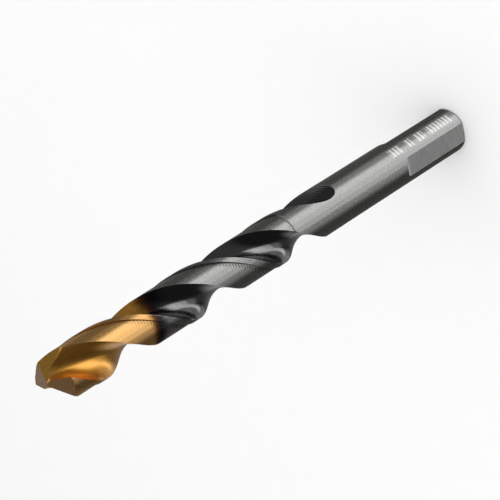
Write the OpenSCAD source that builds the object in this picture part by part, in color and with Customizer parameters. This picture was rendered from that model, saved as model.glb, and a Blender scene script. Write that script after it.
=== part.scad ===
/* [Bar] */
// Cutting diameter, over the margins
drill_d = 11; // [8:0.5:16]
// By how much the shank is thinner, so that a hole never binds on it
shank_undersize = 0.04; // [0.02:0.01:0.2]
// Length from the shank end to the chisel edge
overall_length = 142; // [130:1:180]
// Chamfer round the shank end
end_chamfer = 0.5; // [0.2:0.1:1]

/* [Flutes] */
// Helix angle of the flutes, right hand
helix_angle = 30; // [20:1:38]
// Length over which the flutes have their full depth, from the chisel edge
full_depth_length = 83; // [60:0.5:90]
// Thickness of the web at the point
web_at_point = 2.1; // [1.4:0.1:2.8]
// Thickness to which the web grows on the way to the shank
web_at_root = 4.7; // [2.8:0.1:6]
// Distance from the chisel edge at which the web has grown to that
web_taper_length = 45; // [30:1:90]
// Distance from the web's middle at which the straight lip face ends
lip_face_end = 0.4; // [0.2:0.1:1]
// Pull of the lip face on the curve of the flute's floor
floor_reach = 1.8; // [1:0.1:2.4]
// Pull of the heel on the curve of the flute's floor
heel_reach = 1.5; // [0.8:0.1:2.4]
// Lean of the flute wall at the heel, away from radial
heel_lean = 15; // [0:1:30]
// Radius on which the flutes lift out of the bar
runout_radius = 18; // [14:1:30]
// Direction in which the flutes lift out, round from the lip face
runout_turn = 94; // [80:1:100]

/* [Lands] */
// Angle round the bar from the leading edge to the heel, at the point
land_at_point = 76.5; // [70:0.5:84]
// Angle round the bar from the leading edge to the heel, where the flutes start to run out
land_at_root = 87.5; // [84:0.5:94]
// Width of the margin, square to its edge
margin_width = 1.25; // [0.8:0.05:1.8]
// Depth to which the land is cleared behind the margin
body_clearance = 0.24; // [0.1:0.02:0.4]
// Length of uncleared land at the root of the flutes
uncleared_length = 6; // [2:0.5:10]

/* [Point] */
// Angle between the two lips
point_angle = 135; // [118:1:140]
// Clearance angle behind each lip
lip_relief = 17; // [8:1:20]
// Angle from the first flat on the shank to the lips
lips_turn = 4.4; // [-30:0.2:30]
// Angle between the axis and the split behind the chisel edge
split_angle = 33; // [30:1:45]
// Angle from the lip to the direction in which the split falls away
split_turn = 71; // [66:1:90]
// Distance from the axis to the split
split_offset = 0.3; // [0:0.05:0.4]
// Distance along the lip at which the split's second face meets it
split_lip = 1.2; // [0.8:0.1:1.8]
// Angle from the lip to the valley between the split's two faces
split_valley = 97; // [92:1:115]

/* [Shank flats] */
// Flats for the chuck jaws
flat_count = 3; // [0, 3, 4, 6]
// Depth of each flat below the shank's surface
flat_depth = 0.5; // [0.2:0.05:0.8]
// Length of the flats, from the shank end
flat_length = 23.6; // [15:0.2:30]
// Radius on which a flat lifts out of the shank
flat_runout_radius = 1.5; // [0.5:0.1:4]

/* [Hidden] */

drill_r = drill_d / 2;
shank_r = (drill_d - shank_undersize) / 2;
arc_fn = 128;
// Room that cutting shapes keep beyond the bar
clear_of_bar = 2;

// Turn of the flutes for each millimetre of height
turn_per_mm = tan(helix_angle) / drill_r * 180 / PI;
margin_turn = margin_width / cos(helix_angle) / drill_r * 180 / PI;

// Fall of a flank for each millimetre along the lip, and behind it
lip_fall = 1 / tan(point_angle / 2);
relief_fall = tan(lip_relief);
half_web = web_at_point / 2;
lip_length = sqrt(drill_r ^ 2 - half_web ^ 2);
function lip_height(l) = overall_length - l * lip_fall + half_web * relief_fall;

// Where the full depth of the flutes ends, and how far they run out beyond it
root_height = overall_length - full_depth_length;
runout_lift = drill_r;
runout_length = sqrt(2 * runout_radius * runout_lift - runout_lift ^ 2);
clearance_ramp = 0.8;
clearance_height = root_height + uncleared_length;
// The body begins where the flutes end, with a short cone up from the shank
body_start = root_height - runout_length;
body_cone = 1;
// Height at which the cutting shape passes outside the land that is left uncleared
above_land = 0.5;

// Steps of the swept flute
ring_turn = 8;
runout_rings = 14;
lip_steps = 5;
floor_steps = 9;
land_steps = 7;
sweep_top = overall_length + clear_of_bar;

function polar(r, a) = [r * cos(a), r * sin(a)];
function turned(p, a) = [p.x * cos(a) - p.y * sin(a), p.x * sin(a) + p.y * cos(a)];
function unit(v) = v / norm(v);
function spaced(from, to, steps) = [for (i = [0 : steps]) from + (to - from) * i / steps];
function inner_steps(from, to, steps) = [for (i = [1 : steps]) from + (to - from) * i / steps];
function bezier(p, t) =
    (1 - t) ^ 3 * p[0] + 3 * (1 - t) ^ 2 * t * p[1] + 3 * (1 - t) * t ^ 2 * p[2] + t ^ 3 * p[3];

// Share of a length, measured from the point, that lies above a height
function share_of(length, z) = min(1, max(0, (overall_length - z) / length));
function web_at(z) = half_web + (web_at_root - web_at_point) / 2 * share_of(web_taper_length, z);
function land_at(z) = land_at_point + (land_at_root - land_at_point) * share_of(full_depth_length, z);
function lift_at(z) =
    let (run = min(runout_length, max(0, root_height - z)))
    runout_radius - sqrt(runout_radius ^ 2 - run ^ 2);

// Height of the cleared land above the bar's surface: below it along the body, outside it at the root
function land_rise(z) =
    let (share = min(1, max(0, (z - clearance_height) / clearance_ramp)))
    above_land - share * (above_land + body_clearance);

// A point of the lip face at distance l along the lip, turned so that the leading edge lies on X.
// Its lean is what makes the ground lips come out straight.
function lip_face(l, web) =
    let (
        edge = sqrt(drill_r ^ 2 - web ^ 2),
        r = sqrt(l ^ 2 + web ^ 2),
        lean = asin(web / r) - asin(web / drill_r) + turn_per_mm * lip_fall * (l - edge)
    )
    polar(r, lean);

// The flute from beyond the leading edge, down the lip face, and up the floor to the heel
function flute_curve(z) =
    let (
        web = web_at(z),
        edge = sqrt(drill_r ^ 2 - web ^ 2),
        outer = edge + 0.15 * drill_r,
        face = [for (l = spaced(outer, lip_face_end, lip_steps)) lip_face(l, web)],
        foot = face[lip_steps],
        run = unit(foot - lip_face(lip_face_end + 0.1, web)),
        heel_turn = 180 - land_at(z),
        heel = polar(drill_r + land_rise(z), heel_turn),
        wall = polar(1, heel_turn + heel_lean),
        hold = [foot, foot + run * floor_reach, heel - wall * heel_reach, heel]
    )
    concat(face, [for (t = inner_steps(0, 1, floor_steps)) bezier(hold, t)]);

// The cleared land from the heel up to the next margin
function land_curve(z) =
    [for (a = inner_steps(180 - land_at(z), 180 - margin_turn, land_steps))
        polar(drill_r + land_rise(z), a)];

// What closes the cutting shape outside the bar
outer_r = 2 * (drill_r + runout_lift);
outer_turns = [165, 110, 55, 0];

function cutter_ring(z) =
    let (
        lift = polar(lift_at(z), runout_turn),
        inner = concat(flute_curve(z), land_curve(z)),
        ring = concat([for (p = inner) p + lift], [for (a = outer_turns) polar(outer_r, a)]),
        turn = turn_per_mm * (z - lip_height(lip_length)) + asin(half_web / drill_r) + lips_turn
    )
    [for (p = ring) concat(turned(p, turn), z)];

function rings_between(low, high) =
    let (steps = max(1, ceil((high - low) * turn_per_mm / ring_turn)))
    inner_steps(low, high, steps);

ring_heights = concat(
    [root_height - runout_length],
    inner_steps(root_height - runout_length, root_height, runout_rings),
    rings_between(root_height, clearance_height),
    [clearance_height + clearance_ramp],
    rings_between(clearance_height + clearance_ramp, sweep_top)
);

// Triangles between the inner and the outer side of an end face
function end_face(inner_count, outer_count) =
    let (
        last = inner_count + outer_count - 1,
        partner = [for (i = [0 : inner_count - 1]) last - floor(i * outer_count / inner_count)]
    )
    concat(
        [for (i = [0 : inner_count - 2]) [partner[i], i + 1, i]],
        [for (i = [0 : inner_count - 2]) if (partner[i + 1] != partner[i])
            [partner[i], partner[i + 1], i + 1]]
    );

// The shape that one flute and the clearing of the land behind it take out of the bar
module flute_cutter() {
    rings = [for (z = ring_heights) cutter_ring(z)];
    count = len(rings[0]);
    inner_count = count - len(outer_turns);
    top = (len(rings) - 1) * count;
    ends = end_face(inner_count, len(outer_turns));
    // Each cell is split along the line in which it bends least, which differs between flute and land
    sides = [
        for (j = [0 : len(rings) - 2], i = [0 : count - 1])
            let (a = j * count + i, b = j * count + (i + 1) % count)
            each i < lip_steps + floor_steps
                ? [[a, b, b + count], [a, b + count, a + count]]
                : [[a, b, a + count], [b, b + count, a + count]]
    ];
    polyhedron(
        points = [for (ring = rings) each ring],
        faces = concat(
            sides,
            ends,
            [for (f = ends) [top + f[2], top + f[1], top + f[0]]]
        )
    );
}

// Everything on the far side of a plane, up to the size of the bar
module beyond(normal, through) {
    reach = 3 * drill_d;
    n = unit(normal);
    translate(through)
        rotate([0, acos(n.z), atan2(n.y, n.x)])
            translate([-reach / 2, -reach / 2, 0])
                cube(reach);
}

// One flank of the point: it falls along the lip and away behind it
module flank_cut() {
    beyond([lip_fall, -relief_fall, 1], [0, 0, overall_length]);
}

// One side of the split: the long face behind the chisel edge and the short one under the lip
module split_cut() {
    long_face = [
        cos(split_angle) * cos(split_turn),
        cos(split_angle) * sin(split_turn),
        sin(split_angle)
    ];
    centre = [0, split_offset, overall_length];
    on_lip = [split_lip, half_web, lip_height(split_lip)];
    along = [cos(split_valley), sin(split_valley)];
    valley = [along.x, along.y, -(along * [long_face.x, long_face.y]) / long_face.z];
    intersection() {
        beyond(long_face, centre);
        beyond(cross(on_lip - centre, valley), centre);
    }
}

// The ground bar before anything is cut into it
module bar() {
    rotate_extrude($fn = arc_fn)
        polygon([
            [0, 0],
            [shank_r - end_chamfer, 0],
            [shank_r, end_chamfer],
            [shank_r, body_start],
            [drill_r, body_start + body_cone],
            [drill_r, overall_length],
            [0, overall_length]
        ]);
}

// One chuck flat, which lifts out of the shank on the radius of its grinding wheel
module flat_cut() {
    face = shank_r - flat_depth;
    run = sqrt(2 * flat_runout_radius * flat_depth - flat_depth ^ 2);
    translate([0, drill_d, 0])
        rotate([90, 0, 0])
            linear_extrude(2 * drill_d)
                difference() {
                    translate([face, -clear_of_bar])
                        square([clear_of_bar, flat_length + clear_of_bar]);
                    translate([face + flat_runout_radius, flat_length - run])
                        flat_end();
                }
}

// The corner that the wheel leaves at the end of a flat
module flat_end() {
    difference() {
        translate([-2 * flat_runout_radius, 0])
            square(4 * flat_runout_radius);
        circle(flat_runout_radius, $fn = arc_fn);
    }
}

module drill_bit() {
    color([0.55, 0.47, 0.3])
        difference() {
            bar();
            for (side = [0, 180])
                rotate([0, 0, side]) {
                    flute_cutter();
                    rotate([0, 0, lips_turn]) {
                        flank_cut();
                        split_cut();
                    }
                }
            for (i = [0 : 1 : flat_count - 1])
                rotate([0, 0, i * 360 / flat_count])
                    flat_cut();
        }
}

drill_bit();
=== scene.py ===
from math import acos, asin, atan2, ceil, cos, degrees, hypot, pi, radians, sin, sqrt, tan
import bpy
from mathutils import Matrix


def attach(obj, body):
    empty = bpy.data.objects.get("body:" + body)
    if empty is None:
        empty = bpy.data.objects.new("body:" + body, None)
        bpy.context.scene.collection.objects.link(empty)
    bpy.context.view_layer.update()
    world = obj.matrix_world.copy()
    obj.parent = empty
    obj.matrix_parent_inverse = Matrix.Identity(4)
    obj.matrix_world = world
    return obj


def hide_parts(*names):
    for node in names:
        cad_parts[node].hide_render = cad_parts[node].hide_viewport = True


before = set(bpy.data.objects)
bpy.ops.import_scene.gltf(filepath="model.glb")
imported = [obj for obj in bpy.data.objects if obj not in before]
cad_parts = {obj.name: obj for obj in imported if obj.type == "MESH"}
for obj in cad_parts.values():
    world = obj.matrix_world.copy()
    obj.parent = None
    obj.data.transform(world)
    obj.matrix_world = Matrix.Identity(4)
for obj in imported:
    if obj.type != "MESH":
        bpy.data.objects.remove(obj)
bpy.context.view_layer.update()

from types import SimpleNamespace

import bmesh
import bpy
from mathutils import Matrix, Vector, geometry

print("frame loaded")

# The drill as it was ground: lengths in millimetres, angles in degrees
drill = {
    "diameter": 11,
    "shankDiameter": 10.96,
    "length": 142,
    "endChamfer": 0.5,
    "helixAngle": 30,
    "fullDepthLength": 83,
    "webAtPoint": 2.1,
    "webAtRoot": 4.7,
    "webTaperLength": 45,
    "lipFaceEnd": 0.4,
    "floorReach": 1.8,
    "heelReach": 1.5,
    "heelLean": 15,
    "runoutRadius": 18,
    "runoutTurn": 94,
    "landAtPoint": 76.5,
    "landAtRoot": 87.5,
    "marginWidth": 1.25,
    "bodyClearance": 0.24,
    "unclearedLength": 6,
    "clearanceRamp": 0.8,
    "wheelRise": 0.5,
    "bodyCone": 1,
    "pointAngle": 135,
    "lipRelief": 17,
    "lipsTurn": 4.4,
    "splitAngle": 33,
    "splitTurn": 71,
    "splitOffset": 0.3,
    "splitLip": 1.2,
    "splitValley": 97,
    "flatCount": 3,
    "flatDepth": 0.5,
    "flatLength": 23.6,
    "flatRunoutRadius": 1.5,
}
# The place of each finish in the drill's list of materials
finishes = {"ground": 0, "flute": 1, "flat": 2, "end": 3, "point": 4, "split": 5}

# How finely the piece is made, and how near counts as touching
fineness = {
    "faceSamples": 24,     # points tried along the lip face before the even ones are chosen
    "floorSamples": 72,
    "flutePoints": 44,
    "landPoints": 50,
    "marginPoints": 9,
    "flatPoints": 7,
    "fluteRing": 0.5,      # height of a ring of faces along the flutes
    "mouthRings": 40,
    "shankRing": 2.5,
    "flatEndRings": 9,
    "chamferRing": 0.1,
    "dropRing": 0.54,      # a ring where the clearing land drops below the bar
    "overrun": 1.2,        # past the point, where the flanks cut it off
    "sharpAngle": 21,
    "startOutside": 0.15,  # the flute's curve starts this share of the radius outside the bar
    "faceStep": 0.1,
    "stepTurn": 0.35,      # the margin's step, in degrees round the bar
    "halvings": 30,        # in the search for the end of the flutes
    "cutterSize": 60,
    "tiny": 1e-9,
    "level": 1e-6,
    "merge": 1e-4,
    "touch": 1e-5,
}


def polar(r, turn):
    return Vector((r * cos(radians(turn)), r * sin(radians(turn))))


def turned(p, turn):
    c, s = cos(radians(turn)), sin(radians(turn))
    return Vector((p.x * c - p.y * s, p.x * s + p.y * c))


def between(low, high, share):
    return low + (high - low) * share


def clamped(x):
    return min(1.0, max(0.0, x))


def wheelRun(wheel, depth):
    # how far along the bar a grinding wheel's radius takes to rise by a depth
    return sqrt(2 * wheel * depth - depth ** 2)


bar = SimpleNamespace()     # what follows from the drill's own values
bar.radius = drill["diameter"] / 2
bar.shankRadius = drill["shankDiameter"] / 2
bar.length = drill["length"]
bar.turnPerMm = degrees(tan(radians(drill["helixAngle"])) / bar.radius)
bar.marginTurn = degrees(drill["marginWidth"] / cos(radians(drill["helixAngle"])) / bar.radius)
bar.lipFall = 1 / tan(radians(drill["pointAngle"] / 2))
bar.reliefFall = tan(radians(drill["lipRelief"]))
bar.halfWeb = drill["webAtPoint"] / 2
bar.lipLength = sqrt(bar.radius ** 2 - bar.halfWeb ** 2)
bar.lipCorner = bar.length - bar.lipLength * bar.lipFall + bar.halfWeb * bar.reliefFall
bar.root = bar.length - drill["fullDepthLength"]
bar.runout = wheelRun(drill["runoutRadius"], bar.radius)
bar.flatRun = wheelRun(drill["flatRunoutRadius"], drill["flatDepth"])
bar.cleared = bar.root + drill["unclearedLength"]
bar.bodyStart = bar.root - bar.runout
bar.flatFace = bar.shankRadius - drill["flatDepth"]
bar.phase = degrees(asin(bar.halfWeb / bar.radius)) + drill["lipsTurn"] - bar.turnPerMm * bar.lipCorner


def pointShare(length, z):
    return clamped((bar.length - z) / length)


def fluteTurn(z):
    return bar.turnPerMm * z + bar.phase


def landTurn(z):
    return between(drill["landAtPoint"], drill["landAtRoot"], pointShare(drill["fullDepthLength"], z))


def landRise(z):
    # of the grinding wheel that clears the land: above the bar at the root, below its surface along the body
    share = clamped((z - bar.cleared) / drill["clearanceRamp"])
    return between(drill["wheelRise"], -drill["bodyClearance"], share)


def landRadius(z):
    return bar.radius + min(0.0, landRise(z))


def barRadius(z):
    if z < drill["endChamfer"]:
        return bar.shankRadius - drill["endChamfer"] + z
    return between(bar.shankRadius, bar.radius, clamped((z - bar.bodyStart) / drill["bodyCone"]))


def fluteLift(z):
    run = min(bar.runout, max(0.0, bar.root - z))
    return drill["runoutRadius"] - sqrt(drill["runoutRadius"] ** 2 - run ** 2)


def lipFace(along, web):
    # leans so that the ground lips come out straight
    edge, r = sqrt(bar.radius ** 2 - web ** 2), hypot(along, web)
    lean = bar.turnPerMm * bar.lipFall * (along - edge)
    return polar(r, degrees(asin(web / r) - asin(web / bar.radius)) + lean)


def fluteCurve(z):
    # many points of one flute at a height: down the lip face from its edge, then up the floor to the heel
    web = between(bar.halfWeb, drill["webAtRoot"] / 2, pointShare(drill["webTaperLength"], z))
    outer = sqrt(bar.radius ** 2 - web ** 2) + fineness["startOutside"] * bar.radius
    steps = fineness["faceSamples"]
    face = [lipFace(between(outer, drill["lipFaceEnd"], i / steps), web) for i in range(steps + 1)]
    run = (face[-1] - lipFace(drill["lipFaceEnd"] + fineness["faceStep"], web)).normalized()
    heelTurn = 180 - landTurn(z)
    heel = polar(bar.radius + landRise(z), heelTurn)
    wall = polar(1, heelTurn + drill["heelLean"])
    holds = face[-1] + run * drill["floorReach"], heel - wall * drill["heelReach"]
    floor = geometry.interpolate_bezier(face[-1], *holds, heel, fineness["floorSamples"] + 1)
    lift = polar(fluteLift(z), drill["runoutTurn"])
    return [Vector(p[:2]) + lift for p in face + floor[1:]]


def crossing(p, q, r):
    # the share of the way from p to q at which the circle is met
    return clamped((p.length - r) / (p.length - q.length))


def fluteSection(z):
    # evenly spaced points from the margin's edge to the heel, or none where the flute has run out
    curve, high, low = fluteCurve(z), barRadius(z), min(barRadius(z), landRadius(z))
    inside = [i for i, p in enumerate(curve) if p.length < high - fineness["tiny"]]
    if not inside or inside[0] == 0:
        return None
    first = inside[0]
    last = max((i for i in inside if curve[i].length < low - fineness["tiny"]), default=None)
    if last is None:
        return None
    points = [curve[first - 1].lerp(curve[first], crossing(curve[first - 1], curve[first], high))]
    points += curve[first:last + 1]
    if last + 1 < len(curve):
        points.append(curve[last].lerp(curve[last + 1], crossing(curve[last], curve[last + 1], low)))
    reach = [0.0]
    for p, q in zip(points, points[1:]):
        reach.append(reach[-1] + (q - p).length)
    count, at, even = fineness["flutePoints"], 0, []
    for i in range(count):
        want = reach[-1] * i / (count - 1)
        while at < len(points) - 2 and reach[at + 1] < want:
            at += 1
        span = max(reach[at + 1] - reach[at], fineness["tiny"])
        even.append(points[at].lerp(points[at + 1], clamped((want - reach[at]) / span)))
    return even


def findMouthEnd():
    low, high = bar.bodyStart, bar.root
    for _ in range(fineness["halvings"]):
        middle = (low + high) / 2
        if fluteSection(middle) is None:
            low = middle
        else:
            high = middle
    return high


bar.mouthEnd = findMouthEnd()
mouthPoint = fluteSection(bar.mouthEnd)[0]
bar.mouthTurn = degrees(atan2(mouthPoint.y, mouthPoint.x)) + fluteTurn(bar.mouthEnd)
print("flutes end at height", round(bar.mouthEnd, 2), "and turn", round(bar.mouthTurn % 180, 1))


def columnTurns(firstTurn, heelTurn, span):
    # angles of the land's and then the margin's columns, from one flute's heel to the next one's edge
    nextEdge, lands, margins = firstTurn + 180, fineness["landPoints"], fineness["marginPoints"]
    back = nextEdge - span
    land = [between(heelTurn, back - fineness["stepTurn"], (i + 1) / lands) for i in range(lands)]
    return land + [between(back, nextEdge, i / margins) for i in range(margins)]


def marginSpan(z, openTurn):
    return bar.marginTurn if z >= bar.root else openTurn * bar.marginTurn / landTurn(bar.root)


# Each column of points is the flute's, the land's or the margin's, and one land column opens into each flat
halfRing = [kind for kind in ("flute", "land", "margin") for _ in range(fineness[kind + "Points"])]
halfPlain = [0] * fineness["flutePoints"] + columnTurns(0, 0, marginSpan(bar.mouthEnd, 180))
plainTurns = [bar.mouthTurn % 180 + 180 * side + t for side in (0, 1) for t in halfPlain]
flatTurns = [360 / drill["flatCount"] * i for i in range(drill["flatCount"])]
flatColumns = {}
landColumns = [i for i, kind in enumerate(halfRing * 2) if kind == "land"]
for flatTurn in flatTurns:
    turn = flatTurn + 360 * (flatTurn < plainTurns[0])
    flatColumns[min(landColumns, key=lambda i: abs(plainTurns[i] - turn))] = turn


def flatDistance(z):
    wheel = drill["flatRunoutRadius"]
    run = min(bar.flatRun, max(0.0, z - drill["flatLength"] + bar.flatRun))
    return bar.flatFace + wheel - sqrt(wheel ** 2 - run ** 2)


def flatHalfTurn(z):
    return degrees(acos(clamped(flatDistance(z) / barRadius(z)))) if z < drill["flatLength"] else 0.0


def settledTurn(turn, half):
    # where a column of the plain bar goes once the flats have taken their share of the round
    stops = sorted(flatColumns.items())
    knots = [(plainTurns[c], t) for c, t in stops]
    knots = [(knots[-1][0] - 360, knots[-1][1] - 360)] + knots + [(knots[0][0] + 360, knots[0][1] + 360)]
    for (a, low), (b, high) in zip(knots, knots[1:]):
        if a <= turn <= b:
            return between(low + half, high - half, (turn - a) / (b - a))
    return turn


def plainRing(z):
    half, share = flatHalfTurn(z), clamped((bar.mouthEnd - z) / (bar.mouthEnd - drill["flatLength"]))
    ring = []
    for i, turn in enumerate(plainTurns):
        if i in flatColumns:
            count = fineness["flatPoints"]
            middle = between(turn, flatColumns[i], share)
            for s in range(count):
                aside = half * (2 * s / (count - 1) - 1)
                r = flatDistance(z) / cos(radians(aside)) if half else barRadius(z)
                ring.append(polar(r, middle + aside))
        else:
            ring.append(polar(barRadius(z), between(turn, settledTurn(turn, half), share)))
    return ring


def flutedRing(z):
    section = fluteSection(z)
    firstTurn, heelTurn = (degrees(atan2(p.y, p.x)) for p in (section[0], section[-1]))
    turns = columnTurns(firstTurn, heelTurn, marginSpan(z, firstTurn + 180 - heelTurn))
    landR, marginR = min(landRadius(z), barRadius(z)), barRadius(z)
    radii = [landR] * fineness["landPoints"] + [marginR] * fineness["marginPoints"]
    half = section + [polar(r, t) for r, t in zip(radii, turns)]
    ring = []
    for side in (0, 1):
        for i, p in enumerate(half):
            repeats = fineness["flatPoints"] if i + side * len(half) in flatColumns else 1
            ring += [turned(p, fluteTurn(z) + 180 * side)] * repeats
    return ring


def stepped(low, high, step):
    count = max(1, ceil((high - low) / step - fineness["tiny"]))
    return [between(low, high, (i + 1) / count) for i in range(count)]


def ringHeights():
    heights = [0.0] + stepped(0, drill["endChamfer"], fineness["chamferRing"])
    heights += stepped(drill["endChamfer"], drill["flatLength"] - bar.flatRun, fineness["shankRing"])
    count = fineness["flatEndRings"]
    heights += [drill["flatLength"] - bar.flatRun * (1 - (i + 1) / count) ** 2 for i in range(count)]
    heights += stepped(drill["flatLength"], bar.bodyStart, fineness["shankRing"])
    heights += [bar.bodyStart + drill["bodyCone"], bar.mouthEnd]
    count = fineness["mouthRings"]
    heights += [between(bar.mouthEnd, bar.root, ((i + 1) / count) ** 2) for i in range(count)]
    heights += stepped(bar.root, bar.cleared, fineness["fluteRing"])
    rampEnd = bar.cleared + drill["clearanceRamp"]
    heights += [bar.cleared + fineness["dropRing"], rampEnd]
    return heights + stepped(rampEnd, bar.length + fineness["overrun"], fineness["fluteRing"])


def fillCut(bm, finish):
    edges = [e for e in bm.edges if e.is_boundary]
    for face in bmesh.ops.edgeloop_fill(bm, edges=edges)["faces"]:
        face.material_index = finish


def wrapBar():
    # a sheet of quads is wrapped round the bar, its columns following the flutes, and closed at both ends
    heights = ringHeights()
    rings = [plainRing(z) if z <= bar.mouthEnd else flutedRing(z) for z in heights]
    kinds = []
    for i, kind in enumerate(halfRing * 2):
        kinds += ["flat"] * (fineness["flatPoints"] - 1) + [kind] if i in flatColumns else [kind]
    # the last face of a flute, past its heel, is the land's
    for i in [i for i in range(len(kinds)) if kinds[i] == "flute" and kinds[(i + 1) % len(kinds)] != "flute"]:
        kinds[i] = "land"
    bm = bmesh.new()
    around, up = len(kinds), len(heights) - 1
    bmesh.ops.create_grid(bm, x_segments=around, y_segments=up, size=1)
    bm.verts.ensure_lookup_table()
    bm.faces.ensure_lookup_table()
    for j, (z, ring) in enumerate(zip(heights, rings)):
        for i in range(around + 1):
            bm.verts[j * (around + 1) + i].co = ring[i % around].to_3d() + Vector((0, 0, z))
    for n, face in enumerate(bm.faces):
        kind, z = kinds[n % around], heights[n // around]
        if kind == "flute":
            face.material_index = finishes["flute"]
        elif kind == "flat" and z < drill["flatLength"] - fineness["level"]:
            face.material_index = finishes["flat"]
    bmesh.ops.remove_doubles(bm, verts=bm.verts[:], dist=fineness["merge"])
    bmesh.ops.dissolve_degenerate(bm, edges=bm.edges[:], dist=fineness["touch"])
    foot = [e for e in bm.edges if e.is_boundary and max(v.co.z for v in e.verts) < fineness["level"]]
    for face in bmesh.ops.edgeloop_fill(bm, edges=foot)["faces"]:
        face.material_index = finishes["end"]
    return bm


def grindFlanks(bm):
    for side in (0, 180):
        slope = turned(Vector((bar.lipFall, -bar.reliefFall)), drill["lipsTurn"] + side)
        bmesh.ops.bisect_plane(
            bm, geom=bm.verts[:] + bm.edges[:] + bm.faces[:], dist=fineness["touch"],
            plane_co=(0, 0, bar.length), plane_no=(slope.x, slope.y, 1), clear_outer=True)
        fillCut(bm, finishes["point"])


def splitWedge(side):
    # what the edge of the grinding wheel takes out behind the chisel edge
    long = Vector((cos(radians(drill["splitAngle"])) * cos(radians(drill["splitTurn"])),
                   cos(radians(drill["splitAngle"])) * sin(radians(drill["splitTurn"])),
                   sin(radians(drill["splitAngle"]))))
    centre = Vector((0, drill["splitOffset"], bar.length))
    onLip = Vector((drill["splitLip"], bar.halfWeb,
                    bar.length - drill["splitLip"] * bar.lipFall + bar.halfWeb * bar.reliefFall))
    along = polar(1, drill["splitValley"])
    valley = Vector((along.x, along.y, -along.dot(long.xy) / long.z))
    bm = bmesh.new()
    bmesh.ops.create_cube(bm, size=fineness["cutterSize"], matrix=Matrix.Translation(centre))
    for normal in (long, (onLip - centre).cross(valley).normalized()):
        bmesh.ops.bisect_plane(
            bm, geom=bm.verts[:] + bm.edges[:] + bm.faces[:], dist=fineness["touch"],
            plane_co=centre, plane_no=normal, clear_inner=True)
        fillCut(bm, 0)
    for face in bm.faces:
        face.material_index = finishes["split"]
    bmesh.ops.recalc_face_normals(bm, faces=bm.faces[:])
    bmesh.ops.rotate(bm, cent=(0, 0, 0), matrix=Matrix.Rotation(radians(drill["lipsTurn"] + side), 3, "Z"),
                     verts=bm.verts[:])
    return bm


def newObject(name, bm, materials):
    mesh = bpy.data.meshes.new(name)
    bm.to_mesh(mesh)
    bm.free()
    piece = bpy.data.objects.new(name, mesh)
    bpy.context.scene.collection.objects.link(piece)
    for material in materials:
        mesh.materials.append(material)
    return piece


def buildDrill(materials):
    bm = wrapBar()
    grindFlanks(bm)
    piece = newObject("twistDrill", bm, materials)
    wedges = [newObject("splitWedge", splitWedge(side), materials) for side in (0, 180)]
    for wedge in wedges:
        cut = piece.modifiers.new("split", "BOOLEAN")
        cut.object, cut.operation, cut.solver = wedge, "DIFFERENCE", "EXACT"
    bpy.context.view_layer.update()
    whole = piece.evaluated_get(bpy.context.evaluated_depsgraph_get())
    mesh = bpy.data.meshes.new_from_object(whole)
    piece.modifiers.clear()
    piece.data = mesh
    for wedge in wedges:
        bpy.data.objects.remove(wedge)
    mesh.transform(Matrix.Scale(0.001, 4))
    mesh.shade_smooth()
    mesh.set_sharp_from_angle(angle=radians(fineness["sharpAngle"]))
    return piece


def addNode(tree, kind, inputs=(), **settings):
    made = tree.nodes.new("ShaderNode" + kind)
    for name, value in settings.items():
        setattr(made, name, value)
    for name, value in dict(inputs).items():
        if isinstance(value, bpy.types.NodeSocket):
            tree.links.new(value, made.inputs[name])
        else:
            made.inputs[name].default_value = value
    return made


def maths(tree, operation, *values, clamp=False):
    return addNode(tree, "Math", enumerate(values), operation=operation, use_clamp=clamp).outputs[0]


def times(tree, first, *others):
    for other in others:
        first = maths(tree, "MULTIPLY", first, other)
    return first


def ramped(tree, value, low, high, atLow=0.0, atHigh=1.0):
    # passes softly from one value to another between two limits
    return addNode(tree, "MapRange", {
        "Value": value, "From Min": low, "From Max": high, "To Min": atLow, "To Max": atHigh},
        interpolation_type="SMOOTHSTEP").outputs[0]


def window(tree, value, low, high, soft):
    rise = ramped(tree, value, low - soft, low + soft)
    return times(tree, rise, ramped(tree, value, high - soft, high + soft, 1.0, 0.0))


# The camera, fitted to the outline in the photograph; the drill stands upright and the camera rolls
viewpoint = {
    "aim": (-0.00049268, 0.00089339, 0.07494876),
    "azimuth": 28.876,
    "elevation": 43.773,
    "distance": 0.58249,
    "roll": -122.42,
    "lens": 194.4,
    "sensor": 36,
}


def placeCamera():
    camera = bpy.data.objects.new("camera", bpy.data.cameras.new("camera"))
    bpy.context.scene.collection.objects.link(camera)
    camera.data.lens, camera.data.sensor_width = viewpoint["lens"], viewpoint["sensor"]
    camera.data.clip_start, camera.data.clip_end = 0.01, 20
    turn, rise = radians(viewpoint["azimuth"]), radians(viewpoint["elevation"])
    back = Vector((cos(rise) * cos(turn), cos(rise) * sin(turn), sin(rise)))
    camera.location = Vector(viewpoint["aim"]) + back * viewpoint["distance"]
    roll = Matrix.Rotation(radians(viewpoint["roll"]), 4, "Z")
    camera.rotation_euler = (back.to_track_quat("Z", "Y").to_matrix().to_4x4() @ roll).to_euler()
    bpy.context.scene.camera = camera


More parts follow.
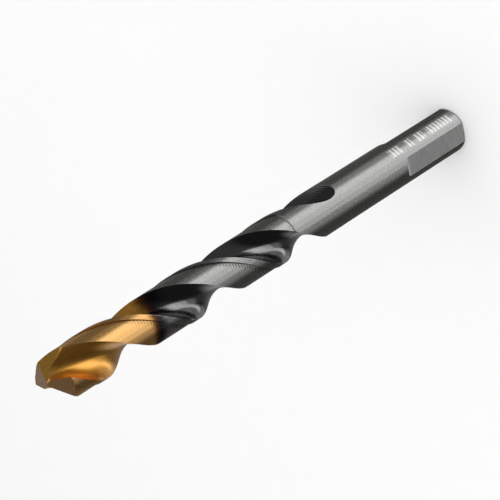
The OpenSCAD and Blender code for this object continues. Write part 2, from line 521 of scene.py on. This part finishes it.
# The studio that the metal mirrors: soft panels low in front, paler light behind, the rest dim
# It was set for this viewpoint, and it stays put when the camera moves
studio = {
    "fill": 0.035,
    # brightness; left, right and softness round from the viewpoint; low, high and softness above the horizon
    "panels": [
        (1.25, -36, 49, 4, -54, -36.3, 1.6),
        (1.75, -18, 48, 12, -54, -36.3, 1.6),
        (2.1, 8, 46, 9, -54, -36.3, 1.6),
        (0.46, -70, -30, 14, -54, -36.3, 1.6),
        (0.07, -190, -60, 10, -56, -32, 4),
        (0.13, 48, 190, 6, -52, -30, 4),
        (0.07, -190, -118, 12, -56, -10, 8),
        (0.42, -184, -124, 24, -34, -14, 4),
        (0.11, 2, 104, 20, -36, 26, 8),
        (0.28, 12, 48, 9, 12, 32, 6),
        (0.75, 112, 170, 9, -30, 40, 6),
        (0.45, -190, -160, 7, -26, 40, 6),
        (0.45, 150, 190, 9, -26, 40, 6),
        (0.45, -170, -120, 10, -10, 40, 6),
        (0.34, -190, 190, 1, -95, -63, 4),
        (0.6, -30, 190, 20, -95, -66, 5),
    ],
    # the long low panel, whose left end hangs lower by so many degrees at 100 degrees to the left
    "lowPanel": (1.75, -104, 88, 12, -61, -51, 3),
    "lowPanelHang": 17,
    "behind": 0.09,
    "behindFrom": 100,
    "behindFull": 140,
    "behindTop": -8,
    "behindLow": -28,
    "overhead": 0.75,
    "overheadFrom": 18,
    "overheadFull": 52,
    "lampPower": 6.7,
    "lampSize": 0.9,
    "lampPlace": (0.2, 0.15, 1.1),
    "paper": (0.93, 0.93, 0.93, 1),
    "paperFlat": 1.5,      # radius of the level floor, in metres
    "paperBend": 0.7,
    "paperWall": 1.0,
}


def lightStudio():
    world = bpy.data.worlds.new("studio")
    bpy.context.scene.world = world
    world.use_nodes = True
    tree = world.node_tree
    tree.nodes.clear()
    toward = addNode(tree, "TexCoord").outputs["Generated"]
    facing = addNode(tree, "VectorRotate", {"Vector": toward, "Angle": -radians(viewpoint["azimuth"])},
                     rotation_type="Z_AXIS").outputs[0]
    parts = addNode(tree, "SeparateXYZ", {0: facing}).outputs
    across = times(tree, maths(tree, "ARCTAN2", parts["Y"], parts["X"]), degrees(1))
    up = times(tree, maths(tree, "ARCSINE", parts["Z"]), degrees(1))
    hang = maths(tree, "POWER", times(tree, maths(tree, "MINIMUM", across, 0), -0.01), 2)
    hung = maths(tree, "MULTIPLY_ADD", hang, studio["lowPanelHang"], up)
    fromBehind = ramped(tree, maths(tree, "ABSOLUTE", across), studio["behindFrom"], studio["behindFull"], 0,
                        studio["behind"])
    behind = times(tree, fromBehind, ramped(tree, up, studio["behindTop"], studio["behindLow"]))
    strength = ramped(tree, up, studio["overheadFrom"], studio["overheadFull"], 0, studio["overhead"])
    for level, panels in ((up, studio["panels"]), (hung, [studio["lowPanel"]])):
        for bright, left, right, soft, low, high, softUp in panels:
            panel = times(tree, window(tree, across, left, right, soft),
                          window(tree, level, low, high, softUp))
            strength = maths(tree, "MAXIMUM", strength, times(tree, panel, bright))
    strength = maths(tree, "ADD", maths(tree, "ADD", strength, behind), studio["fill"])
    light = addNode(tree, "Background", {"Color": (1, 1, 1, 1), "Strength": strength})
    addNode(tree, "OutputWorld", {"Surface": light.outputs[0]})

    lamp = bpy.data.objects.new("softLamp", bpy.data.lights.new("softLamp", "AREA"))
    bpy.context.scene.collection.objects.link(lamp)
    lamp.data.energy, lamp.data.size = studio["lampPower"], studio["lampSize"]
    lamp.location = studio["lampPlace"]
    lamp.visible_glossy = False


def layPaper():
    # one sheet of pale paper, level under the drill and bent up into a wall far off
    # it is hidden from mirrored rays, so the metal shows the panels and not the paper
    bm = bmesh.new()
    flat, bend = studio["paperFlat"], studio["paperBend"]
    start = bm.verts.new((0, 0, 0))
    bmesh.ops.extrude_vert_indiv(bm, verts=[start])
    bm.verts.ensure_lookup_table()
    rim = bm.verts[-1]
    rim.co = (flat, 0, 0)
    bmesh.ops.spin(bm, geom=[rim], cent=(flat, 0, bend), axis=(0, -1, 0), angle=radians(90), steps=12)
    bm.verts.ensure_lookup_table()
    top = bmesh.ops.extrude_vert_indiv(bm, verts=[max(bm.verts, key=lambda v: v.co.z)])["verts"]
    bmesh.ops.translate(bm, verts=top, vec=(0, 0, studio["paperWall"]))
    bmesh.ops.spin(bm, geom=bm.verts[:] + bm.edges[:], cent=(0, 0, 0), axis=(0, 0, 1), angle=radians(360),
                   steps=64, use_merge=True)
    bmesh.ops.remove_doubles(bm, verts=bm.verts[:], dist=fineness["touch"])
    bmesh.ops.recalc_face_normals(bm, faces=bm.faces[:])
    if sum(face.normal.z for face in bm.faces) < 0:
        bmesh.ops.reverse_faces(bm, faces=bm.faces[:])
    paper = newObject("paper", bm, [paperMaterial()])
    paper.data.shade_smooth()
    paper.visible_glossy = False


def paperMaterial():
    material, _, shader = newMaterial("paper", roughness=0.9)
    shader.inputs["Base Color"].default_value = studio["paper"]
    shader.inputs["Specular IOR Level"].default_value = 0.1
    return material


def newMaterial(name, **constants):
    material = bpy.data.materials.new(name)
    material.use_nodes = True
    shader = material.node_tree.nodes["Principled BSDF"]
    for socket, value in constants.items():
        shader.inputs[socket.capitalize()].default_value = value
    return material, material.node_tree, shader


def newGroup(name, inputs, outputs):
    # inputs are values, or colours where the default has four parts
    group = bpy.data.node_groups.new(name, "ShaderNodeTree")
    kinds = {4: "NodeSocketColor", 3: "NodeSocketVector", 1: "NodeSocketFloat"}
    for side, sockets in (("INPUT", inputs), ("OUTPUT", outputs)):
        for socketName, value in sockets.items():
            size = len(value) if hasattr(value, "__len__") else 1
            made = group.interface.new_socket(socketName, in_out=side, socket_type=kinds[size])
            if side == "INPUT":
                made.default_value = value
    given = group.nodes.new("NodeGroupInput").outputs
    result = group.nodes.new("NodeGroupOutput").inputs
    return group, given, result


def placeGroup(tree, group, inputs=()):
    made = addNode(tree, "Group")
    made.node_tree = group
    for name, value in dict(inputs).items():
        if isinstance(value, bpy.types.NodeSocket):
            tree.links.new(value, made.inputs[name])
        else:
            made.inputs[name].default_value = value
    return made.outputs


def mixed(tree, share, a, b, blend="MIX"):
    made = addNode(tree, "Mix", data_type="RGBA", blend_type=blend)
    for socket, value in ((made.inputs[0], share), (made.inputs[6], a), (made.inputs[7], b)):
        if isinstance(value, bpy.types.NodeSocket):
            tree.links.new(value, socket)
        else:
            socket.default_value = value
    return made.outputs[2]


def noise(tree, vector, scale, detail=2.0, roughness=0.5):
    return addNode(tree, "TexNoise", {"Vector": vector, "Scale": scale, "Detail": detail,
                                      "Roughness": roughness}).outputs["Fac"]


def makePlacesGroup():
    # where a point of the surface is on the drill, in millimetres and degrees
    group, _, result = newGroup("placesOnDrill", {}, {
        "Height": 0.0, "Radius": 0.0, "Behind Edge": 0.0, "Azimuth": 0.0,
        "Unrolled": (0, 0, 0), "Millimetres": (0, 0, 0)})
    spot = addNode(group, "TexCoord").outputs["Object"]
    scaled = addNode(group, "VectorMath", {0: spot, 1: (1000, 1000, 1000)}, operation="MULTIPLY").outputs[0]
    parts = addNode(group, "SeparateXYZ", {0: scaled}).outputs
    radius = maths(group, "SQRT", maths(group, "ADD", maths(group, "POWER", parts["X"], 2),
                                        maths(group, "POWER", parts["Y"], 2)))
    azimuth = times(group, maths(group, "ARCTAN2", parts["Y"], parts["X"]), degrees(1))
    unwound = maths(group, "SUBTRACT", maths(group, "SUBTRACT", azimuth, bar.phase),
                    times(group, parts["Z"], bar.turnPerMm))
    behind = maths(group, "SUBTRACT", 180, maths(group, "WRAP", unwound, 180, 0))
    # lengths along the flutes and across them, so that a texture can be stretched along either
    arc = times(group, behind, radians(1) * bar.radius * cos(radians(drill["helixAngle"])))
    along = times(group, parts["Z"], 1 / cos(radians(drill["helixAngle"])))
    unrolled = addNode(group, "CombineXYZ", {"X": arc, "Y": along, "Z": radius}).outputs[0]
    found = {"Height": parts["Z"], "Radius": radius, "Behind Edge": behind, "Azimuth": azimuth,
             "Unrolled": unrolled, "Millimetres": scaled}
    for name, value in found.items():
        group.links.new(value, result[name])
    return group


def makeTemperGroup():
    # the golden coat and the brown, violet and blue fringe in which it ends
    group, given, result = newGroup("temperColor", {
        "Height": 0.0, "Millimetres": (0, 0, 0), "Ends At": 113.6, "Fade": 1.4, "Waver": 0.8,
        "Steel": (0.4, 0.4, 0.4, 1), "Gold": (0.8, 0.5, 0.15, 1)}, {"Color": (0, 0, 0, 1), "Coated": 0.0})
    cloud = noise(group, given["Millimetres"], 0.35, 3)
    waver = times(group, maths(group, "SUBTRACT", cloud, 0.5), given["Waver"])
    above = maths(group, "SUBTRACT", maths(group, "ADD", given["Height"], waver), given["Ends At"])
    share = maths(group, "DIVIDE", above, given["Fade"])
    fringe = addNode(group, "ValToRGB", {"Fac": maths(group, "MULTIPLY_ADD", share, 0.5, 0.5, clamp=True)})
    stops = fringe.color_ramp.elements
    stops[0].position, stops[0].color = metal["fringe"][0]
    stops[1].position, stops[1].color = metal["fringe"][-1]
    for at, color in metal["fringe"][1:-1]:
        stops.new(at).color = color
    begun = ramped(group, share, -2.2, -0.6)
    coated = ramped(group, share, 0.1, 1.2)
    color = mixed(group, coated, mixed(group, begun, given["Steel"], fringe.outputs["Color"]), given["Gold"])
    group.links.new(color, result["Color"])
    group.links.new(coated, result["Coated"])
    return group


def makeGrindGroup():
    # fine lines left by a grinding wheel and the sandy grain between them
    group, given, result = newGroup("grindingMarks", {
        "Vector": (0, 0, 0), "Across": 6.0, "Along": 0.3, "Grain": 3.0},
        {"Lines": 0.0, "Sand": 0.0, "Relief": 0.0})
    parts = addNode(group, "SeparateXYZ", {0: given["Vector"]}).outputs
    stretched = addNode(group, "CombineXYZ", {
        "X": times(group, parts["X"], given["Across"]),
        "Y": times(group, parts["Y"], given["Along"]),
        "Z": times(group, parts["Z"], given["Across"])}).outputs[0]
    lines = noise(group, stretched, 1.0, 3, 0.6)
    sand = noise(group, given["Vector"], given["Grain"], 4, 0.65)
    relief = maths(group, "MULTIPLY_ADD", sand, 0.5, lines)
    for name, value in (("Lines", lines), ("Sand", sand), ("Relief", relief)):
        group.links.new(value, result[name])
    return group


def makeEdgeHighlightAndScuffGroup():
    # bare bright metal on an edge, painted brighter as a thin highlight line, and the scuffs that handling
    # leaves
    group, given, result = newGroup("edgeHighlightAndScuffs", {
        "From Edge": 0.0, "Width": 0.12, "Millimetres": (0, 0, 0), "Scuffs": 0.5},
        {"Edge": 0.0, "Scuffed": 0.0})
    uneven = maths(group, "MULTIPLY_ADD", noise(group, given["Millimetres"], 1.7, 3), 1.4, 0.3)
    # the edge mask paints a thin bright highlight along the edge
    edge = ramped(group, given["From Edge"], times(group, given["Width"], uneven), 0.0)
    tilted = addNode(group, "VectorRotate", {
        "Vector": given["Millimetres"], "Angle": radians(38), "Axis": (0.6, 0.5, 0.4)},
        rotation_type="AXIS_ANGLE").outputs[0]
    drawn = addNode(group, "VectorMath", {0: tilted, 1: (7, 0.25, 0.25)}, operation="MULTIPLY").outputs[0]
    scuffs = ramped(group, noise(group, drawn, 1.0, 2), 0.66, 0.78)
    group.links.new(edge, result["Edge"])
    group.links.new(times(group, scuffs, given["Scuffs"]), result["Scuffed"])
    return group


# Colours and grain of the metal, and the marks on it
metal = {
    "steel": (0.38, 0.38, 0.375, 1),
    "edgeTint": (0.5, 0.47, 0.42, 1),
    "flatSteel": (0.45, 0.45, 0.445, 1),
    # bright edge colour: bare metal used as a painted highlight along the edges
    "bareAndHighlight": (0.55, 0.54, 0.53, 1),
    "fluteSteel": (0.19, 0.19, 0.194, 1),
    "gold": (1.0, 0.54, 0.165, 1),
    "fluteGold": (1.0, 0.47, 0.065, 1),
    "flankBrown": (0.2, 0.115, 0.05, 1),
    "splitGold": (1.0, 0.5, 0.1, 1),
    # colours of the coat's edge, from the steel to the gold
    "fringe": [(0.0, (0.06, 0.058, 0.062, 1)), (0.3, (0.055, 0.038, 0.05, 1)), (0.5, (0.13, 0.055, 0.03, 1)),
               (0.75, (0.36, 0.16, 0.035, 1)), (1.0, (0.55, 0.27, 0.06, 1))],
    "landCoatEnds": 113.2,
    "fluteCoatEnds": 109.5,
    "anisotropic": 0.85,
    "groundRoughness": 0.245,
    "fluteRoughness": 0.14,
    "coatRoughness": 0.26,
    "fluteCoatRoughness": 0.3,
    "coatGloss": 0.36,
    "bareAndHighlightShare": 0.6,      # of bare metal and painted highlight at an edge
    "sandTones": (0.75, 1.25),
    "coatSandTones": (0.9, 1.1),
    "marginTones": (0.68, 1.1),
    "scuffTone": 0.72,
    "groundRelief": 0.000003,
    "fluteRelief": 0.000007,
    "facedRelief": 0.000008,
    "combPitch": 0.72,     # dark marks on the cleared land, behind the margin
    "combLength": 18,      # degrees round the bar
    "combTone": 0.25,
    "coatCombTone": 0.5,
    "wallPitch": 0.36,     # stripes on the flute's wall at the run-out
    "etchFrom": 41,        # plain etched bars on the shank: degrees round the bar
    "etchTo": 65,
    "etchPitch": 1.25,
    "etchBar": 0.8,
    "etchWhite": (0.97, 0.97, 0.96, 1),
    "etchRows": [(2.2, 11.6), (13.2, 16.2), (18.0, 20.2), (22.2, 26.6)],
}


def reliefInto(tree, shader, height, distance):
    bump = addNode(tree, "Bump", {"Height": height, "Distance": distance, "Strength": 1.0})
    tree.links.new(bump.outputs[0], shader.inputs["Normal"])


def glossOver(tree, shader, coated):
    shader.inputs["Coat IOR"].default_value = 1.8
    shader.inputs["Coat Roughness"].default_value = 0.2
    tree.links.new(times(tree, coated, metal["coatGloss"]), shader.inputs["Coat Weight"])


def varied(tree, value, low, high):
    return addNode(tree, "MapRange", {"Value": value, "From Min": 0.3, "From Max": 0.7, "To Min": low,
                                      "To Max": high}).outputs[0]


def mixedValue(tree, share, a, b):
    return addNode(tree, "Mix", {0: share, 2: a, 3: b}).outputs[0]


def scaledColor(tree, color, amount):
    return addNode(tree, "VectorMath", {0: color, "Scale": amount}, operation="SCALE").outputs[0]


def etchedBars(tree, places):
    # rows of plain bars of even height, with nothing to read in them
    band = window(tree, places["Azimuth"], metal["etchFrom"], metal["etchTo"], 0.8)
    rows = 0.0
    for low, high in metal["etchRows"]:
        rows = maths(tree, "ADD", rows, window(tree, places["Height"], low, high, 0.06))
    spot = maths(tree, "WRAP", places["Height"], metal["etchPitch"], 0)
    bars = window(tree, spot, 0.16, 0.16 + metal["etchBar"], 0.05)
    return maths(tree, "MULTIPLY", times(tree, band, rows), bars, clamp=True)


def groundMaterial(groups):
    # lands, margins and shank, all ground on the outside of the bar
    material, tree, shader = newMaterial("groundSteel", metallic=1.0)
    # ground round the bar, so what it mirrors is drawn out along the bar
    shader.inputs["Anisotropic"].default_value = metal["anisotropic"]
    shader.inputs["Anisotropic Rotation"].default_value = 0.25
    shader.inputs["Specular Tint"].default_value = metal["edgeTint"]
    places = placeGroup(tree, groups["places"])
    height, behind = places["Height"], places["Behind Edge"]
    body = ramped(tree, height, bar.cleared + 0.4, bar.cleared + 0.8)
    coat = placeGroup(tree, groups["temper"], {
        "Height": height, "Millimetres": places["Millimetres"], "Ends At": metal["landCoatEnds"], "Fade": 1.9,
        "Steel": metal["steel"], "Gold": metal["gold"]})
    rings = addNode(tree, "VectorMath", {
        0: places["Millimetres"], 1: (0.6, 0.6, 9)}, operation="MULTIPLY").outputs[0]
    around = placeGroup(tree, groups["grind"], {"Vector": rings, "Across": 1.0, "Along": 1.0, "Grain": 0.35})
    lengthwise = placeGroup(tree, groups["grind"], {
        "Vector": places["Unrolled"], "Across": 9.0, "Along": 0.25, "Grain": 2.6})
    margin = window(tree, behind, -1, bar.marginTurn, 0.3)
    onMargin = times(tree, margin, body)
    # the comb of grinding marks is darkest at the margin's step and tapers off over the land
    reach = maths(tree, "MULTIPLY_ADD", noise(tree, places["Millimetres"], 1.1), metal["combLength"] * 0.8,
                  bar.marginTurn + metal["combLength"] * 0.6)
    taper = ramped(tree, behind, bar.marginTurn + 5, reach, 0, 1.35)
    teeth = maths(tree, "SINE", times(tree, height, 2 * pi / metal["combPitch"]))
    comb = ramped(tree, maths(tree, "SUBTRACT", teeth, taper), -0.35, 0.5)
    onLand = times(tree, ramped(tree, behind, bar.marginTurn + 0.2, bar.marginTurn + 1.4), body)
    comb = times(tree, comb, onLand)
    # painted highlights of bright bare metal: in front of the margin, and at the heel behind the land
    heel = ramped(tree, height, bar.root, bar.length, drill["landAtRoot"], drill["landAtPoint"])
    edges = maths(tree, "MINIMUM", behind, maths(tree, "ABSOLUTE", maths(tree, "SUBTRACT", heel, behind)))
    highlightAndWear = placeGroup(tree, groups["highlightAndWear"], {
        "From Edge": edges, "Width": 1.8, "Millimetres": places["Millimetres"], "Scuffs": 0.5})
    etched = etchedBars(tree, places)
    tone = mixedValue(tree, coat["Coated"], varied(tree, lengthwise["Sand"], *metal["sandTones"]),
                      varied(tree, lengthwise["Sand"], *metal["coatSandTones"]))
    tone = times(tree, tone, varied(tree, around["Lines"], 0.96, 1.04))
    combTone = ramped(tree, coat["Coated"], 0, 1, metal["combTone"], metal["coatCombTone"])
    tone = times(tree, tone, ramped(tree, comb, 0, 1, 1.0, combTone))
    tone = times(tree, tone, ramped(tree, highlightAndWear["Scuffed"], 0, 1, 1.0, metal["scuffTone"]))
    marginTone = varied(tree, lengthwise["Lines"], *metal["marginTones"])
    tone = times(tree, tone, ramped(tree, onMargin, 0, 1, 1.0, marginTone))
    color = scaledColor(tree, coat["Color"], tone)
    # the edges get a painted highlight, bare steel or bright gold
    bareAndHighlightColor = mixed(tree, coat["Coated"], metal["bareAndHighlight"], metal["gold"])
    color = mixed(tree, times(tree, highlightAndWear["Edge"], metal["bareAndHighlightShare"], body), color, bareAndHighlightColor)
    color = mixed(tree, etched, color, metal["etchWhite"])
    tree.links.new(color, shader.inputs["Base Color"])
    stepWall = window(tree, behind, bar.marginTurn - 0.45, bar.marginTurn + 0.45, 0.2)
    rough = maths(tree, "ADD", varied(tree, lengthwise["Sand"], -0.03, 0.04),
                  ramped(tree, coat["Coated"], 0, 1, metal["groundRoughness"], metal["coatRoughness"]))
    rough = maths(tree, "ADD", rough, times(tree, etched, 0.1))
    rough = maths(tree, "ADD", rough, times(tree, stepWall, body, 0.4))
    tree.links.new(rough, shader.inputs["Roughness"])
    metallic = maths(tree, "SUBTRACT", 1, times(tree, etched, 0.4))
    tree.links.new(metallic, shader.inputs["Metallic"])
    relief = maths(tree, "ADD", times(tree, around["Relief"], 0.5),
                   times(tree, lengthwise["Relief"], 0.6))
    relief = maths(tree, "SUBTRACT", relief, times(tree, comb, 0.8))
    reliefInto(tree, shader, relief, metal["groundRelief"])
    glossOver(tree, shader, coat["Coated"])
    return material


def fluteMaterial(groups):
    # ground along the flute, then darkened; the coat reaches further down than on the lands and fades slowly
    material, tree, shader = newMaterial("fluteSteel")
    places = placeGroup(tree, groups["places"])
    coat = placeGroup(tree, groups["temper"], {
        "Height": places["Height"], "Millimetres": places["Millimetres"], "Ends At": metal["fluteCoatEnds"],
        "Fade": 2.6, "Waver": 2.5, "Steel": metal["fluteSteel"], "Gold": metal["fluteGold"]})
    grain = placeGroup(tree, groups["grind"], {
        "Vector": places["Unrolled"], "Across": 5.0, "Along": 0.35, "Grain": 2.6})
    runout = ramped(tree, places["Height"], bar.cleared + 2, bar.root - 2)
    stripes = maths(tree, "SINE", times(tree, places["Radius"], 2 * pi / metal["wallPitch"]))
    wall = times(tree, window(tree, places["Behind Edge"], 84, 112, 3), runout)
    stripes = times(tree, ramped(tree, stripes, -0.3, 0.8), wall)
    fine = noise(tree, places["Millimetres"], 5.5, 3, 0.7)
    tone = times(tree, varied(tree, grain["Lines"], 0.8, 1.2),
                 ramped(tree, coat["Coated"], 0, 1, 1.0, varied(tree, fine, 0.86, 1.12)))
    tone = times(tree, tone, ramped(tree, runout, 0, 1, 1.0, 0.6))
    tone = maths(tree, "ADD", tone, times(tree, stripes, 0.9))
    # a painted highlight of bare metal along the flute's outer edges, and scuffs
    highlightAndWear = placeGroup(tree, groups["highlightAndWear"], {
        "From Edge": maths(tree, "SUBTRACT", bar.radius, places["Radius"]), "Width": 0.1,
        "Millimetres": places["Millimetres"], "Scuffs": 0.6})
    color = scaledColor(tree, coat["Color"], tone)
    color = mixed(tree, times(tree, highlightAndWear["Edge"], metal["bareAndHighlightShare"]), color, metal["bareAndHighlight"])
    tree.links.new(color, shader.inputs["Base Color"])
    tree.links.new(ramped(tree, coat["Coated"], 0, 1, 1.0, 0.96), shader.inputs["Metallic"])
    rough = maths(tree, "ADD", varied(tree, grain["Sand"], -0.03, 0.05),
                  ramped(tree, coat["Coated"], 0, 1, metal["fluteRoughness"], metal["fluteCoatRoughness"]))
    rough = maths(tree, "ADD", rough, times(tree, highlightAndWear["Scuffed"], 0.2))
    tree.links.new(rough, shader.inputs["Roughness"])
    relief = maths(tree, "ADD", grain["Relief"], times(tree, stripes, 0.8))
    relief = maths(tree, "ADD", relief, times(tree, fine, coat["Coated"], 0.8))
    reliefInto(tree, shader, relief, metal["fluteRelief"])
    glossOver(tree, shader, coat["Coated"])
    return material


def facedMaterial(groups, name, color, roughness, direction):
    # a small ground face with straight lines across it
    material, tree, shader = newMaterial(name, metallic=1.0)
    places = placeGroup(tree, groups["places"])
    lined = addNode(tree, "Mapping", {"Vector": places["Millimetres"], "Rotation": direction}).outputs[0]
    marks = placeGroup(tree, groups["grind"], {"Vector": lined, "Across": 7.0, "Along": 0.3, "Grain": 3.0})
    # a painted highlight of bare metal along the outer edges, and scuffs
    highlightAndWear = placeGroup(tree, groups["highlightAndWear"], {
        "From Edge": maths(tree, "SUBTRACT", bar.radius, places["Radius"]), "Width": 0.06,
        "Millimetres": places["Millimetres"], "Scuffs": 0.6})
    tone = times(tree, varied(tree, marks["Lines"], 0.72, 1.28), varied(tree, marks["Sand"], 0.88, 1.12))
    tone = times(tree, tone, ramped(tree, highlightAndWear["Scuffed"], 0, 1, 1.0, 0.75))
    toned = scaledColor(tree, color[:3], tone)
    finished = mixed(tree, times(tree, highlightAndWear["Edge"], 0.5), toned, metal["bareAndHighlight"])
    tree.links.new(finished, shader.inputs["Base Color"])
    rough = varied(tree, marks["Sand"], roughness - 0.05, roughness + 0.07)
    tree.links.new(rough, shader.inputs["Roughness"])
    reliefInto(tree, shader, marks["Relief"], metal["facedRelief"])
    return material


bpy.context.scene.view_settings.view_transform = "Standard"
placeCamera()
lightStudio()
layPaper()
print("studio ready")
groups = {
    "places": makePlacesGroup(),
    "temper": makeTemperGroup(),
    "grind": makeGrindGroup(),
    "highlightAndWear": makeEdgeHighlightAndScuffGroup(),
}
materials = [
    groundMaterial(groups),
    fluteMaterial(groups),
    facedMaterial(groups, "jawFlat", metal["flatSteel"], 0.33, (0, radians(90), 0)),
    facedMaterial(groups, "shankEnd", metal["steel"], 0.38, (0, 0, 0)),
    facedMaterial(groups, "pointFlank", metal["flankBrown"], 0.34, (0, 0, radians(20))),
    facedMaterial(groups, "splitFace", metal["splitGold"], 0.34, (0, 0, radians(75))),
]
print("metals ready")
twistDrill = buildDrill(materials)
print("drill built:", len(twistDrill.data.polygons), "faces")
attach(twistDrill, "root")
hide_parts("drill_bit")
